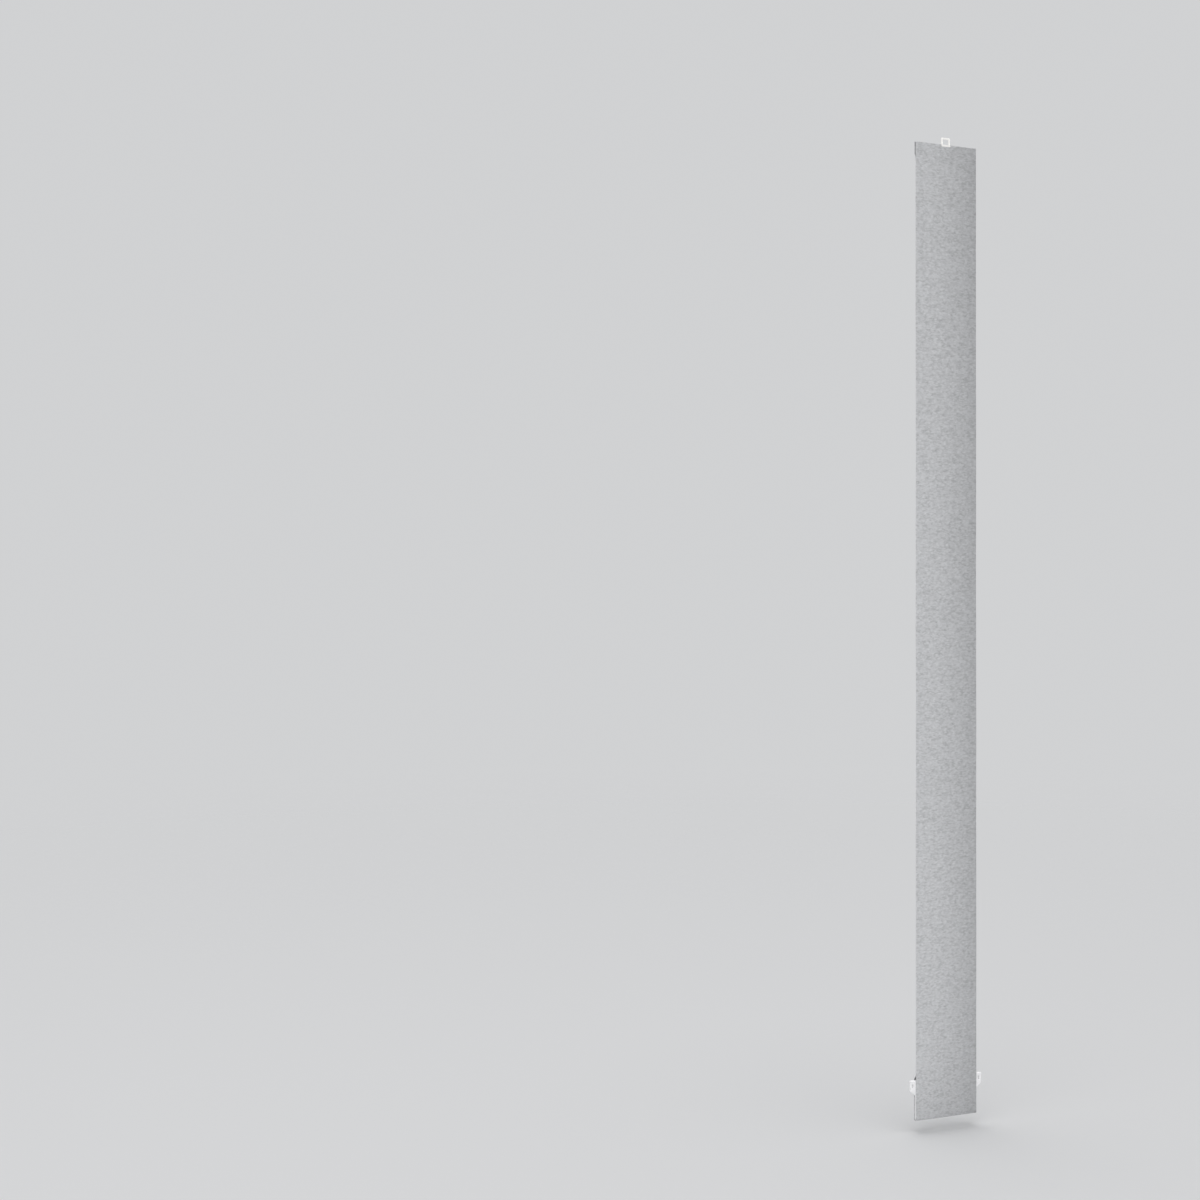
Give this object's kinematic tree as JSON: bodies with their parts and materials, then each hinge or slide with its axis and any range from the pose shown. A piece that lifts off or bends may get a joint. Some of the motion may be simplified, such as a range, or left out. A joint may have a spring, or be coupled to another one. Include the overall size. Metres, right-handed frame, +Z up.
{
  "type": "vertical blind vane",
  "caption": "Vertical blind vane: a long cloth strip folded over a moulded hanger with a square eye at the top, and over a flat weight with slotted side lugs at the bottom.",
  "frame": {"origin": "middle of the underside of the top bar of the hanger's eye, the face that bears on the hook", "axes": "+X across the vane to the right as its front is seen, +Y from the front to the back, +Z up along the vane"},
  "size_m": [0.105, 0.0048, 1.2216],
  "materials": {
    "cloth": "matte",
    "hanger_plastic": "satin",
    "weight_plastic": "satin",
    "plate_steel": "satin"
  },
  "bodies": {
    "root": {"louvre_fabric": "cloth", "top_hanger": "hanger_plastic", "weight_case": "weight_plastic", "weight_cover": "weight_plastic", "weight_plate": "plate_steel"}
  },
  "joints": []
}
